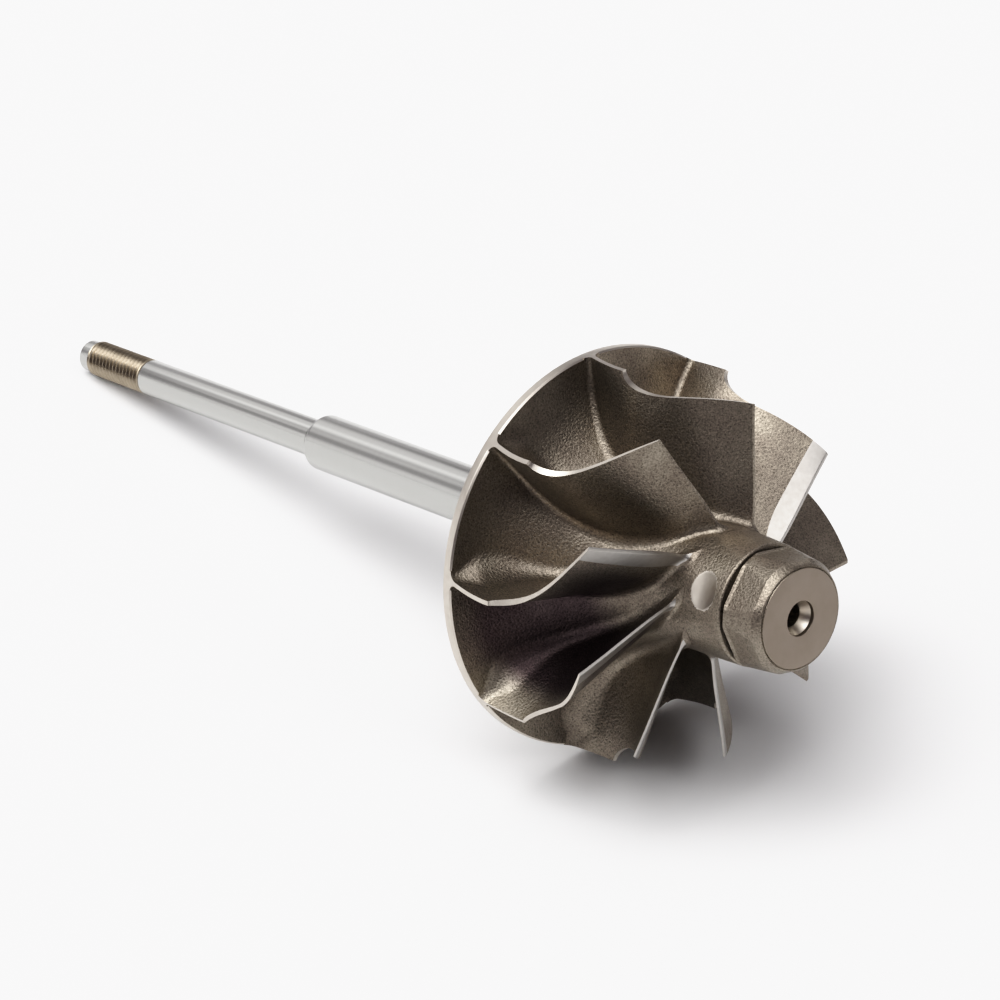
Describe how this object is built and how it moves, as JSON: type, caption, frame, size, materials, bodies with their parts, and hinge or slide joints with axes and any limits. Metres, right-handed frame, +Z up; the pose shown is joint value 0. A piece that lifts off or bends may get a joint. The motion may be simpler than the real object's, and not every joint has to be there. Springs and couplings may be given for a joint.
{
  "type": "turbocharger shaft and wheel",
  "caption": "Turbocharger rotor: a cast radial turbine wheel with a full back disc, curved blades and a hexagonal nose, welded to a stepped steel shaft with a threaded end.",
  "frame": {"origin": "centre of the bounding box in plan, on the level surface that the rotor lies on", "axes": "+Z up; the rotor lies on the rim of its wheel and the end of its shaft, its axis in the XZ plane, with the wheel and its nose towards +X and the threaded end towards -X"},
  "size_m": [0.1406, 0.05, 0.0506],
  "materials": {
    "cast_wheel": "as-cast nickel alloy, blasted, dark grey-brown, with the blade edges and rim turned bright",
    "faced_nose": "cast nickel alloy, faced and chamfered on a lathe",
    "ground_shaft": "hardened alloy steel, ground smooth",
    "threaded_steel": "rolled thread, oily and slightly browned"
  },
  "bodies": {
    "root": {"back_disc": "cast_wheel", "hub_flare": "cast_wheel", "hub": "cast_wheel", "blade_1": "cast_wheel", "blade_2": "cast_wheel", "blade_3": "cast_wheel", "blade_4": "cast_wheel", "blade_5": "cast_wheel", "blade_6": "cast_wheel", "blade_7": "cast_wheel", "blade_8": "cast_wheel", "blade_9": "cast_wheel", "hex_nose": "faced_nose", "back_boss": "cast_wheel", "seal_collar": "ground_shaft", "journal": "ground_shaft", "shoulder": "ground_shaft", "compressor_seat": "ground_shaft", "thread": "threaded_steel", "shaft_end": "ground_shaft"}
  },
  "joints": []
}
